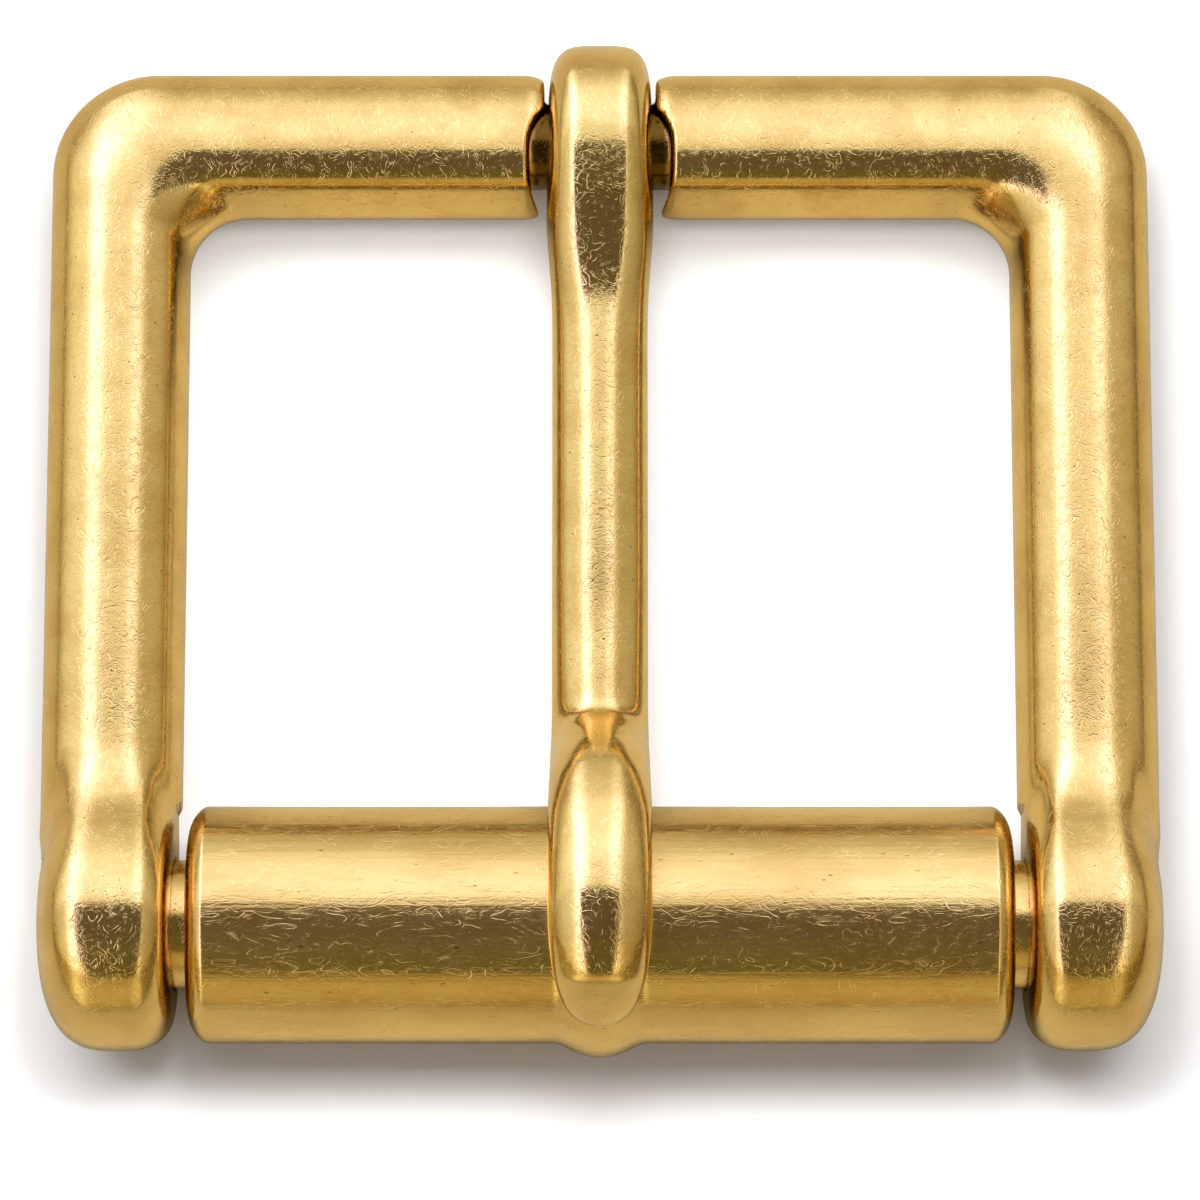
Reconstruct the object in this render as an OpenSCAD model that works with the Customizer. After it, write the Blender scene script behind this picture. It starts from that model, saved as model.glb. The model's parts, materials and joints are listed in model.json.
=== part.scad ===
// Roller buckle in solid brass, lying on its back with the tongue closed.
// X runs across the strap, Y from the roller to the strap bar, Z up out of the table.
// The origin is on the table, at the middle of the whole buckle.

/* [Strap] */
// Width of the strap that the buckle takes
strap_w = 38; // [25:1:50]
// Room beside the strap, both sides together
strap_play = 2.5; // [1:0.1:4]
// Distance between the roller's axis and the strap bar's axis
reach = 39; // [32:0.5:60]

/* [Casting] */
// Width of each leg, seen from the front
leg_w = 6.86; // [5.5:0.02:8]
// Width of the strap bar, seen from the front
bar_w = 7.2; // [6.4:0.1:8.5]
// Thickness of the legs and the strap bar, front to back
frame_t = 6.2; // [6:0.1:7]
// Squareness of the casting's section, 2 is an ellipse
section_square = 2.3; // [2.1:0.05:3.5]
// Radius of the frame's outer corners
outer_corner = 5.2; // [4:0.1:7]
// Radius of the window's corners
inner_corner = 2.9; // [2.4:0.1:5]
// How much tighter the inner shoulder turns on the front
shoulder_tight = 2; // [0:0.1:2.4]

/* [Knuckles] */
// Diameter of the knuckles at the ends of the legs
knuckle_d = 12.16; // [11:0.02:13]
// How far the knuckle stands out past the leg's outer side
knuckle_proud = 0.04; // [0:0.02:0.6]
// Width of the knuckle inside its crest
knuckle_in = 3; // [2.6:0.1:3.5]
// Depth of the round spot face on the knuckle's inner side
spot_depth = 0.25; // [0.1:0.05:0.5]
// Diameter of that spot face
spot_d = 10.4; // [8:0.1:11]

/* [Pin] */
// Diameter of the roller's pin
pin_d = 6.2; // [4:0.1:7]

/* [Roller] */
// Diameter of the roller
roller_d = 11.42; // [10:0.02:12]
// Gap between the roller's end and the knuckle's spot face
roller_end_gap = 0.7; // [0.2:0.05:1]
// Length of the rounding at the roller's ends
roller_round = 0.9; // [0.4:0.1:1.4]
// Fall of the roller's surface over that rounding
roller_fall = 1.3; // [0.4:0.1:1.5]
// Height of the bead round the roller's middle
bead_h = 0.7; // [0.3:0.05:0.9]
// Width of that bead
bead_w = 4.2; // [3:0.1:4.6]

/* [Tongue] */
// Diameter of the strap bar's round neck
neck_d = 4.2; // [3.4:0.1:5.4]
// Outer diameter of the tongue's eye
eye_d = 10.1; // [9.4:0.1:11]
// Width of the tongue's eye
eye_w = 5.2; // [5:0.1:6]
// Width of the tongue's shank
shank_w = 4.66; // [4:0.02:4.9]
// Thickness of the tongue's shank
shank_t = 3.6; // [2.8:0.1:4]
// Drop from the eye's crest down to the shank
shank_drop = 1.2; // [0.8:0.1:1.6]
// Width of the tongue's spoon
spoon_w = 5; // [4.6:0.1:5.6]
// Thickness of the spoon above the bead
spoon_t = 2.5; // [1.8:0.1:3]

/* [Fits] */
// Radial play of the roller on its pin
roller_play = 0.08; // [0.03:0.01:0.1]
// Radial play of the tongue's eye on the neck
eye_play = 0.08; // [0.03:0.01:0.1]
// Side play of the tongue's eye between the bar's cheeks, each side
cheek_play = 0.16; // [0.1:0.02:0.3]
// Gap between the closed tongue and the roller
seat_gap = 0.12; // [0.08:0.01:0.2]
// Radial gap of the pin in the knuckles
rivet_gap = 0.03; // [0.02:0.01:0.05]
// Gap under the bead and under the eye when the buckle lies flat
table_gap = 0.05; // [0.02:0.01:0.1]

/* [Hidden] */
$fn = 96;

brass = [0.79, 0.62, 0.27];
polished_brass = [0.85, 0.69, 0.33];

section_points = 36;
corner_steps = 10;
dome_steps = 10;

window_w = strap_w + strap_play;
leg_x = window_w / 2 + leg_w / 2;
face_x = window_w / 2 + spot_depth;
crest_x = face_x + knuckle_in;
tip_x = window_w / 2 + leg_w + knuckle_proud;
knuckle_out = tip_x - crest_x;
knuckle_r = knuckle_d / 2;
// The knuckle's outer and inner curves, as squareness. The inner curve is drawn rim_reach times too wide, and
// the knuckle's face cuts it short.
dome_square = 2.7;
rim_square = 3.5;
rim_reach = 1.13;
rim_full = knuckle_in * rim_reach;
// The rim's points crowd towards the crest by this power.
rim_crowding = 1.4;
// The leg ends inside the knuckle, this far north of the pin's axis.
leg_end = 0.4;

pin_r = pin_d / 2;
roller_r = roller_d / 2;
roller_half = face_x - roller_end_gap;
bead_r = roller_r + bead_h;
neck_r = neck_d / 2;
eye_r = eye_d / 2;
seat_r = bead_r + seat_gap;

// The buckle stands on the roller's bead and on the tongue's eye.
pin_z = bead_r + table_gap;
bar_z = eye_r + table_gap;
south_y = -(reach + bead_r + eye_r) / 2;
pin_y = south_y + bead_r;
bar_y = pin_y + reach;

cheek_x = eye_w / 2 + cheek_play;
// The bar's ends are cupped round the neck: how far back the cup's floor lies, the slope of its wall, how far
// its lip stands out past the bar's front and back, and the fillet at the neck's foot.
cup_back = 0.75;
cup_slope = 0.1;
cup_lip = 0.02;
neck_fillet = 0.25;
// Shape of the bead's foot, of the roller's rounded ends, and of the tongue's eye.
foot_share = 0.35;
end_square = 1.7;
end_steps = 5;
eye_square = 4;

// A power that keeps its sign, for squared sections.
function spow(v, p) = sign(v) * pow(abs(v), p);

// One point of a squared section with half sizes of 1, at angle a.
function squared(a, n) = [spow(cos(a), 2 / n), spow(sin(a), 2 / n)];

// Radius of a squared dome of radius r and width w, at a distance d from its crest.
function dome_r(r, w, n, d) = r * pow(1 - pow(d / w, n), 1 / n);

// Height of the casting's middle line, which falls from the roller's pin to the strap bar.
function middle_z(y) = bar_z + (pin_z - bar_z) * (bar_y - y) / reach;

// A closed skin over rings of points, each ring in the same order.
module loft(rings) {
    n = len(rings[0]);
    last = len(rings) - 1;
    points = [for (ring = rings) each ring];
    sides = [
        for (j = [0:last - 1], k = [0:n - 1])
            let (a = j * n + k, b = j * n + (k + 1) % n)
                each [[a, b, b + n], [a, b + n, a + n]]
    ];
    start_cap = [for (k = [1:n - 2]) [0, k + 1, k]];
    end_cap = [for (k = [1:n - 2]) [last * n, last * n + k, last * n + k + 1]];
    polyhedron(points = points, faces = concat(sides, start_cap, end_cap), convexity = 6);
}

// A solid turned about the X axis through the point (0, y, z), from [x, radius] points.
module turned(profile, y, z) {
    translate([0, y, z])
        rotate([0, 90, 0])
            rotate_extrude()
                polygon([for (p = profile) [p[1], p[0]]]);
}

// The frame's skin follows lines that run up a leg, round the corner and along the bar.
// Each line has its own place across the section and its own corner radius.
function corner_r(e, v) =
    inner_corner + (outer_corner - inner_corner) * (e + 1) / 2 - shoulder_tight * max(v, 0) * (1 - e) / 2;

function frame_ring(at) = [
    for (k = [0:section_points - 1])
        let (
            s = squared(360 * k / section_points, section_square),
            r = corner_r(s[0], s[1]),
            x = leg_x + s[0] * leg_w / 2,
            y = bar_y + s[0] * bar_w / 2,
            px = at == "bar" ? 0 : at == "leg" ? x : x - r + r * cos(at),
            py = at == "bar" ? y : at == "leg" ? pin_y + leg_end : y - r + r * sin(at)
        )
            [px, py, middle_z(py) + s[1] * frame_t / 2]
];

function mirrored(ring) = [for (p = ring) [-p[0], p[1], p[2]]];

module casting() {
    corner = [for (i = [0:corner_steps]) frame_ring(90 * i / corner_steps)];
    right = concat([frame_ring("leg")], corner);
    left = [for (i = [len(right) - 1:-1:0]) mirrored(right[i])];
    loft(concat(right, [frame_ring("bar")], left));
}

// Profile of one knuckle, from its inner face over the crest to its outer dome.
function knuckle_profile() = concat(
    [[face_x, 0], [face_x, dome_r(knuckle_r, rim_full, rim_square, knuckle_in)]],
    [
        for (i = [1:dome_steps])
            let (d = knuckle_in * pow(1 - i / dome_steps, rim_crowding))
                [crest_x - d, dome_r(knuckle_r, rim_full, rim_square, d)]
    ],
    [
        for (i = [1:dome_steps])
            let (s = squared(90 - 90 * i / dome_steps, dome_square))
                [crest_x + knuckle_out * s[0], i == dome_steps ? 0 : knuckle_r * s[1]]
    ]
);

// The ring of space cut round the neck, between the bar's cupped ends.
function neck_cut() =
    let (
        floor_x = cheek_x + cup_back,
        half = [
            [floor_x - neck_fillet, neck_r], [floor_x, neck_r + neck_fillet],
            [floor_x - cup_slope, frame_t / 2 + cup_lip], [cheek_x, bar_w / 2], [cheek_x, 2 * eye_r]
        ]
    )
        concat(half, [for (i = [len(half) - 1:-1:0]) [-half[i][0], half[i][1]]]);

module spot_face() {
    translate([0, pin_y, pin_z])
        rotate([0, 90, 0])
            cylinder(h = 2 * face_x, d = spot_d, center = true);
}

module frame() {
    color(brass)
        difference() {
            union() {
                difference() {
                    casting();
                    spot_face();
                    turned(neck_cut(), bar_y, bar_z);
                }
                turned(knuckle_profile(), pin_y, pin_z);
                mirror([1, 0, 0])
                    turned(knuckle_profile(), pin_y, pin_z);
            }
            translate([0, pin_y, pin_z])
                rotate([0, 90, 0])
                    cylinder(h = 4 * face_x, r = pin_r + rivet_gap, center = true);
        }
}

// The pin's riveted ends follow the knuckles' outer domes.
module pin() {
    rim = crest_x + knuckle_out * pow(1 - pow(pin_r / knuckle_r, dome_square), 1 / dome_square);
    color(brass)
        turned([[-tip_x, 0], [-rim, pin_r], [rim, pin_r], [tip_x, 0]], pin_y, pin_z);
}

// Outer radius of the roller at a distance x from its middle, with the bead's crown and feet.
function bead_rise(x) =
    let (t = min(abs(x) / (bead_w / 2), 1))
        bead_h * (1 - t * t) * (1 - foot_share * t * t);

// Places along the bead, as shares of half its width.
bead_shares = [-1, -0.94, -0.85, -0.7, -0.5, -0.25, 0, 0.25, 0.5, 0.7, 0.85, 0.94, 1];

// The bead's surface, grown by a gap.
function bead_profile(gap) = [
    for (s = bead_shares) [s * bead_w / 2, roller_r + gap + bead_rise(s * bead_w / 2)]
];

// The rounding at the roller's end, from its flat face to its surface.
function end_profile() = [
    for (i = [0:end_steps])
        let (s = squared(90 * i / end_steps, end_square))
            [roller_half - roller_round * (1 - s[0]), roller_r - roller_fall * (1 - s[1])]
];

module roller() {
    bore_r = pin_r + roller_play;
    right_end = [for (i = [end_steps:-1:0]) end_profile()[i]];
    left_end = [for (p = end_profile()) [-p[0], p[1]]];
    color(polished_brass)
        turned(
            concat([[-roller_half, bore_r]], left_end, bead_profile(0), right_end, [[roller_half, bore_r]]),
            pin_y, pin_z);
}

// The eye's north half is cut in slices at these angles from its crest.
// Columns: angle, width as a share of the eye's.
eye_slices = [[88, 0.46], [80, 0.62], [70, 0.755], [58, 0.865], [44, 0.945], [30, 0.975], [15, 0.985]];

// Sections of the tongue's root, south of the strap bar's axis.
// Columns: y as a share of the eye's radius, share of the drop to the shank's top, share of the rise to its
// underside, width from the shank's (0) to the eye's (1), squareness.
root_sections = [
    [0, 0, 0, 1, 4],
    [-0.3, 0.04, 0, 1, 4],
    [-0.55, 0.15, 0, 1, 4],
    [-0.8, 0.34, 0.06, 1.15, 3.7],
    [-0.95, 0.5, 0.25, 1.1, 3.4],
    [-1.1, 0.66, 0.72, 0.9, 3.1],
    [-1.3, 0.84, 0.93, 0.55, 2.7],
    [-1.55, 0.96, 1, 0.2, 2.4],
    [-1.8, 1, 1, 0, 2.2]
];

// Sections of the step up to the spoon, and of the spoon. The places along Y of a section's top and bottom
// are shares of the seat's radius from the roller's axis. The rises go from the shank (0) to the spoon's
// crest (1).
// Columns: top y, top rise, bottom y, bottom rise, width from the shank's (0) to the spoon's (1), squareness.
step_sections = [
    [1.66, 0, 1.56, -0.02, 0, 2.2],
    [1.55, 0.06, 1.44, -0.01, 0.05, 2.2],
    [1.39, 0.28, 1.28, 0.05, 0.15, 2.2],
    [1.22, 0.5, 1.1, 0.18, 0.35, 2.2],
    [1, 0.7, 0.8, 0.55, 0.65, 2.3]
];

// Columns: top y, top rise, bottom y, bottom rise, width as a share of the spoon's, squareness.
spoon_sections = [
    [0.71, 0.86, 0.52, 0.78, 0.99, 2.3],
    [0.36, 0.97, 0.27, 0.885, 1, 2.2],
    [0.03, 1, 0, 0.92, 1, 2.2],
    [-0.29, 0.955, -0.22, 0.9, 0.98, 2.2],
    [-0.59, 0.805, -0.43, 0.82, 0.89, 2.2],
    [-0.74, 0.66, -0.61, 0.71, 0.75, 2.2],
    [-0.81, 0.5, -0.68, 0.66, 0.5, 2.2],
    [-0.825, 0.38, -0.715, 0.64, 0.26, 2]
];

// A width that goes from the tongue's shank (0) to a wider part (1).
function width_between(wide, share) = shank_w + (wide - shank_w) * share;

// One ring of the tongue, from the Y and Z of its top and bottom, its half width and its squareness.
function tongue_ring(ty, tz, by, bz, half_w, n) = [
    for (k = [0:section_points - 1])
        let (s = squared(360 * k / section_points, n))
            [half_w * s[0], (ty + by) / 2 + (ty - by) / 2 * s[1], (tz + bz) / 2 + (tz - bz) / 2 * s[1]]
];

// A ring over the roller, from the first four columns of its row.
function roller_side_ring(s, half_w) =
    let (
        shank_top = bar_z + eye_r - shank_drop,
        shank_low = shank_top - shank_t,
        seat_z = pin_z + seat_r,
        top_z = shank_top + (seat_z + spoon_t - shank_top) * s[1],
        low_z = shank_low + (seat_z - shank_low) * s[3]
    )
        tongue_ring(pin_y + s[0] * seat_r, top_z, pin_y + s[2] * seat_r, low_z, half_w, s[5]);

// The whole tongue before its bore and its seat are cut.
module tongue_casting() {
    eye = [
        for (s = eye_slices)
            let (y = bar_y + eye_r * sin(s[0]), z = eye_r * cos(s[0]))
                tongue_ring(y, bar_z + z, y, bar_z - z, eye_w / 2 * s[1], eye_square)
    ];
    root = [
        for (s = root_sections)
            let (
                y = bar_y + s[0] * eye_r,
                round_z = -eye_r * sqrt(max(0, 1 - s[0] * s[0])),
                top_z = bar_z + eye_r - shank_drop * s[1],
                low_z = bar_z + round_z * (1 - s[2]) + (eye_r - shank_drop - shank_t) * s[2]
            )
                tongue_ring(y, top_z, y, low_z, width_between(eye_w, s[3]) / 2, s[4])
    ];
    step = [for (s = step_sections) roller_side_ring(s, width_between(spoon_w, s[4]) / 2)];
    spoon = [for (s = spoon_sections) roller_side_ring(s, spoon_w / 2 * s[4])];
    loft(concat(eye, root, step, spoon));
}

// The seat under the spoon follows the roller and its bead.
module tongue() {
    seat = concat(
        [[-spoon_w, 0], [-spoon_w, roller_r + seat_gap]],
        bead_profile(seat_gap),
        [[spoon_w, roller_r + seat_gap], [spoon_w, 0]]
    );
    color(polished_brass)
        difference() {
            tongue_casting();
            translate([0, bar_y, bar_z])
                rotate([0, 90, 0])
                    cylinder(h = 2 * eye_w, r = neck_r + eye_play, center = true);
            turned(seat, pin_y, pin_z);
        }
}

frame();
pin();
roller();
tongue();
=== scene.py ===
import json
import math

import bpy
import numpy as np
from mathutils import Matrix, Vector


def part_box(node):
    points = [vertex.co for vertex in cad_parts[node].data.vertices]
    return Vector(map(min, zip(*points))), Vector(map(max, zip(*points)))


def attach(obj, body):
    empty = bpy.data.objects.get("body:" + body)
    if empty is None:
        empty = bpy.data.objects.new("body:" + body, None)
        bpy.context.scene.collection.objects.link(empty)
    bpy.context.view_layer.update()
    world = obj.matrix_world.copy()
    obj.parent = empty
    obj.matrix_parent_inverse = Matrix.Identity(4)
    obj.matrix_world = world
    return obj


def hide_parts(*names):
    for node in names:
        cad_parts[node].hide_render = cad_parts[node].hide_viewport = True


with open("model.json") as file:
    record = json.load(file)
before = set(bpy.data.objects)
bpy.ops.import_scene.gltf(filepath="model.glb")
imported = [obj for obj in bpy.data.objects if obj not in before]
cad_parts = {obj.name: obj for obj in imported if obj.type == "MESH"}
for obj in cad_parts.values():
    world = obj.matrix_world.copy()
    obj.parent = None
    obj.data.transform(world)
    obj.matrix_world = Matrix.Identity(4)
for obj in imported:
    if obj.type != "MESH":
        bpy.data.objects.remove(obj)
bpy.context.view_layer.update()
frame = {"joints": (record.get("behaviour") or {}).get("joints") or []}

# The cast frame
# One brass casting: the strap bar, two legs that run down from its rounded corners, and a round knuckle at
# the end of each, drilled for the roller's pin. The bar is turned down to a neck in its middle, where the
# tongue hangs, and its cut ends are cupped. The casting is then tumbled and polished.
MM = 0.001
place = {joint["name"]: [c / MM for c in joint["pos_m"]] for joint in frame["joints"]}
bar_y, bar_z = place["tongue_swing"][1:]
pin_y, pin_z = place["roller_spin"][1:]

window_w = 40.5
leg_w = 6.86
bar_w = 7.2
cast_t = 6.2
outer_corner = 5.2
inner_corner = 2.9
shoulder_tight = 1.2
least_corner = 0.4
# A section's squareness is 2 for an ellipse and more for a boxy one. It changes over the length of the bend.
leg_square = 2.35
bar_square = 2.15
bend = 4.0
# The bar's front leans: its crest lies nearer the window, and its inner shoulder is flattened.
crest_lean = 0.1
bevel_angle = 62
bevel_out = 3.36
bevel_fade = 0.3
bevel_soft = 0.25
# The knuckles are domed outwards from their crest, and rounded more tightly towards the roller.
knuckle_r = 6.08
knuckle_in = 3.0
knuckle_field = 4.6
dome_square = 2.7
rim_square = 3.5
rim_reach = 1.13
front_square = 1.2
rim_front = 0.6
face_soft = 0.35
spot_depth = 0.25
spot_r = 5.75
spot_soft = 0.15
pin_r = 3.1
rivet_gap = 0.03
rivet_soft = 0.08
# The legs sink into the knuckles near the pin, with a fillet that widens in front and behind.
leg_end_soft = 1.0
sink_depth = 0.75
sink_start = 4.5
sink_length = 3
fillet_least = 0.8
fillet_more = 1.5
fillet_low = 0.6
fillet_rise = 2.4
fillet_edge = 1.7
# The neck, and the bar's cupped ends beside the tongue's eye, which fall away a little towards the neck.
neck_r = 2.1
neck_soft = 0.3
cheek_x = 2.76
cup_depth = 0.84
cup_south = 1.15
cup_half = 2.5
cup_soft = 0.22
fall_depth = 0.22
fall_w = 1.04

leg_x = (window_w + leg_w) / 2
face_x = window_w / 2 + spot_depth
crest_x = face_x + knuckle_in
tip_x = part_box("frame")[1].x / MM
knuckle_out = tip_x - crest_x


def melt(a, b, k):
    """The union of two fields, with a fillet about k wide where they meet."""
    reach = 1.5 * k
    near = np.maximum(1 - np.abs(a - b) / reach, 0)
    return np.minimum(a, b) - near ** 3 * reach / 6


def carve(a, b, k):
    """The field a with b cut out of it, and the cut's edge rounded by about k."""
    return -melt(-a, b, k)


def common(a, b, k):
    """What two fields have in common, with the edge rounded by about k."""
    return -melt(-a, -b, k)


def squared(a, b, n):
    """How far out a point lies, as a share of a squared section whose half sizes are 1."""
    return (np.abs(a) ** n + np.abs(b) ** n) ** (1 / n)


def smooth(t):
    """0 below 0, 1 above 1, and smooth between."""
    t = np.clip(t, 0, 1)
    return t * t * (3 - 2 * t)


def grid_lines(rows):
    """Grid lines from the first place to the last, spaced as the (place, spacing) rows say."""
    places, spacings = zip(*rows)
    at = [places[0]]
    while at[-1] < places[-1]:
        at.append(at[-1] + float(np.interp(at[-1], places, spacings)))
    return np.array(at)


def skin_of(name, field, axes):
    """Draws the surface where a field is zero, and settles its points and normals on it."""
    coarse = 4
    near_gaps = 1.1
    probe = 0.01
    least_steep = 0.04
    longest_move = 0.2
    rounds = 5
    ease = 0.6
    tiny = 1e-9
    # The field is read on a coarse grid first, and on the fine one only near the surface.
    axes = [np.append(a, a[-1] + (a[-1] - a[-2]) * np.arange(1, 1 + (1 - len(a)) % coarse)) for a in axes]
    rough_axes = [a[::coarse] for a in axes]
    rough = field(*[g.ravel() for g in np.meshgrid(*rough_axes, indexing="ij")])
    rough = rough.reshape([len(a) for a in rough_axes])
    nearest = [(np.arange(len(a)) + coarse // 2) // coarse for a in axes]
    value = rough[np.ix_(*nearest)]
    gap = [np.gradient(a)[n] ** 2 for a, n in zip(rough_axes, nearest)]
    gap = np.sqrt(gap[0][:, None, None] + gap[1][None, :, None] + gap[2][None, None, :])
    close = np.argwhere(np.abs(value) < near_gaps * gap)
    value = np.sign(value)
    value[tuple(close.T)] = field(*[a[c] for a, c in zip(axes, close.T)])
    inside = value < 0
    # A cell holds a point of the surface where its corners aren't all inside or all outside.
    corners = [np.array([i, j, k]) for i in (0, 1) for j in (0, 1) for k in (0, 1)]
    cells = tuple(n - 1 for n in value.shape)
    count = sum(inside[tuple(slice(o, o + n) for o, n in zip(c, cells))].astype(int) for c in corners)
    crossed = np.argwhere((count > 0) & (count < len(corners)))
    at_corner = [value[tuple((crossed + c).T)] for c in corners]
    total = np.zeros((len(crossed), 3))
    hits = np.zeros(len(crossed))
    for a, start in enumerate(corners):
        for b, end in enumerate(corners):
            if (end - start).min() < 0 or (end - start).sum() != 1:
                continue
            cut = (at_corner[a] < 0) != (at_corner[b] < 0)
            share = at_corner[a][cut] / (at_corner[a][cut] - at_corner[b][cut])
            total[cut] += start + (end - start) * share[:, None]
            hits[cut] += 1
    spot = crossed + total / hits[:, None]
    points = np.stack([np.interp(s, np.arange(len(a)), a) for s, a in zip(spot.T, axes)], axis=1)
    number = np.full(cells, -1)
    number[tuple(crossed.T)] = np.arange(len(crossed))
    quads = []
    for d in range(3):
        u, w = np.eye(3, dtype=int)[[(d + 1) % 3, (d + 2) % 3]]
        last = value.shape[d] - 1
        first = inside.take(np.arange(last), axis=d)
        second = inside.take(np.arange(1, last + 1), axis=d)
        at = np.argwhere(first != second)
        ring = np.stack([number[tuple(c.T)] for c in (at - u - w, at - w, at, at - u)], axis=1)
        outward = first[tuple(at.T)]
        ring[~outward] = ring[~outward][:, ::-1]
        quads.append(ring)
    quads = np.concatenate(quads)

    def slope(p):
        return np.stack([
            (field(*(p + probe * axis).T) - field(*(p - probe * axis).T)) / (2 * probe) for axis in np.eye(3)
        ], axis=1)

    def settle(p):
        g = slope(p)
        move = (field(*p.T) / np.maximum((g * g).sum(1), least_steep))[:, None] * g
        length = np.linalg.norm(move, axis=1, keepdims=True)
        return p - move * np.minimum(1, longest_move / np.maximum(length, tiny))

    shares = np.bincount(quads.ravel(), minlength=len(points))[:, None]
    for _ in range(rounds):
        centre = points[quads].mean(1)
        around = np.stack([
            np.bincount(quads.ravel(), np.repeat(centre[:, c], 4), len(points)) for c in range(3)
        ], axis=1) / shares
        points = settle(settle(points + ease * (around - points)))
    normals = slope(points)
    normals /= np.maximum(np.linalg.norm(normals, axis=1, keepdims=True), tiny)
    mesh = bpy.data.meshes.new(name)
    mesh.from_pydata((points * MM).tolist(), [], quads.tolist())
    mesh.shade_smooth()
    mesh.normals_split_custom_set_from_vertices(normals.tolist())
    piece = bpy.data.objects.new(name, mesh)
    bpy.context.scene.collection.objects.link(piece)
    return piece


def cast_bar(x, y, z):
    """The legs, corners and strap bar: a squared section carried along a rounded line."""
    tries = 6
    pace = 0.55 * leg_w
    farthest = 2.5
    x = np.abs(x)
    middle = bar_z + (pin_z - bar_z) * (bar_y - y) / (bar_y - pin_y)
    height = (z - middle) / (cast_t / 2)
    front = np.clip(height, 0, 1)
    # The place across the section is found step by step: -1 on the window's side and 1 on the outer side.
    across = np.zeros_like(x)
    for _ in range(tries):
        radius = inner_corner + (outer_corner - inner_corner) * (across + 1) / 2
        radius = np.maximum(radius - shoulder_tight * front * (1 - across) / 2, least_corner)
        in_x = x - (leg_x + across * leg_w / 2 - radius)
        in_y = y - (bar_y + across * bar_w / 2 - radius)
        past = np.hypot(np.maximum(in_x, 0), np.maximum(in_y, 0))
        out = past + np.minimum(np.maximum(in_x, in_y), 0) - radius
        across = np.clip(across + out / pace, -farthest, farthest)
    turn = smooth(0.5 + 0.5 * (y - bar_y - x + leg_x) / bend)
    leaned = across + crest_lean * turn * (1 - np.minimum(across * across, 1)) * front
    square = leg_square + (bar_square - leg_square) * turn
    section = (squared(leaned, height, square) - 1) * cast_t / 2
    lean = math.radians(bevel_angle)
    bevel = -across * bar_w / 2 * math.sin(lean) + height * cast_t / 2 * math.cos(lean)
    return common(section, bevel - bevel_out - bevel_fade * (1 - turn), bevel_soft)


def knuckle(x, y, z):
    """The two knuckles: squared domes turned about the pin's axis, faced flat towards the roller."""
    past = np.abs(x) - crest_x
    radius = np.hypot(y - pin_y, z - pin_z) / knuckle_r
    front = front_square * np.clip((z - pin_z) / knuckle_r, 0, 1) ** 4
    dome = squared(past / knuckle_out, radius, dome_square + front)
    rim = squared(past / (knuckle_in * rim_reach), radius, rim_square + rim_front * front)
    body = (np.where(past > 0, dome, rim) - 1) * knuckle_field
    return common(body, face_x - np.abs(x), face_soft)


def cast_frame(x, y, z):
    """The whole casting: the bar and legs with the neck cut in, melted into the drilled knuckles."""
    side = np.abs(x)
    from_pin = np.hypot(y - pin_y, z - pin_z)
    from_bar = np.hypot(y - bar_y, z - bar_z)
    legs = common(cast_bar(x, y, z), pin_y - y, leg_end_soft)
    legs = legs + fall_depth * np.clip((cheek_x + fall_w - side) / fall_w, 0, 1) ** 2
    cup = cup_depth * (1 - np.clip(np.abs(y - bar_y + cup_south) / cup_half, 0, 1) ** 3)
    legs = carve(legs, common(side - cheek_x - cup, neck_r - from_bar, neck_soft), cup_soft)
    legs = legs + sink_depth * smooth((pin_y + sink_start - y) / sink_length)
    rise = smooth((np.abs(z - pin_z) - fillet_low) / fillet_rise)
    inward = smooth((leg_w / 2 - np.abs(side - leg_x)) / fillet_edge)
    whole = melt(legs, knuckle(x, y, z), fillet_least + fillet_more * rise * inward)
    whole = carve(whole, np.maximum(from_pin - spot_r, side - face_x), spot_soft)
    return carve(whole, from_pin - pin_r - rivet_gap, rivet_soft)


low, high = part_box("frame")
margin = 0.8
low, high = [[c / MM + side * margin for c in corner] for corner, side in ((low, -1), (high, 1))]
# The grid is finest across the cut ends, the legs' inner sides and the bar's inner shoulder.
half = grid_lines([
    (0, 0.3), (2.4, 0.13), (4.2, 0.13), (6, 0.3), (18, 0.3), (19.5, 0.18), (21.5, 0.18), (23, 0.25),
    (high[0], 0.25),
])
frame_piece = skin_of("cast_frame", cast_frame, [
    np.concatenate([-half[:0:-1], half]),
    grid_lines([(low[1], 0.26), (14, 0.26), (16, 0.16), (19, 0.16), (21, 0.22), (high[1], 0.22)]),
    grid_lines([(low[2], 0.24), (high[2], 0.24)]),
])


def feed(tree, socket, value):
    """Gives a node's input a number, a colour, or another node's output."""
    if isinstance(value, bpy.types.NodeSocket):
        tree.links.new(value, socket)
    else:
        socket.default_value = (*value, 1) if isinstance(value, tuple) else value


def calc(tree, operation, *values):
    """One Math node in a node tree, its inputs given as numbers or as sockets."""
    node = tree.nodes.new("ShaderNodeMath")
    node.operation = operation
    for socket, value in zip(node.inputs, values):
        feed(tree, socket, value)
    return node.outputs[0]


def mixed(tree, factor, a, b, blend="MIX"):
    """A colour that is a where the factor is 0 and b where it is 1. Each is a colour or a socket."""
    node = tree.nodes.new("ShaderNodeMix")
    node.data_type = "RGBA"
    node.blend_type = blend
    for socket, value in ((node.inputs["Factor"], factor), (node.inputs[6], a), (node.inputs[7], b)):
        feed(tree, socket, value)
    return node.outputs[2]


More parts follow.
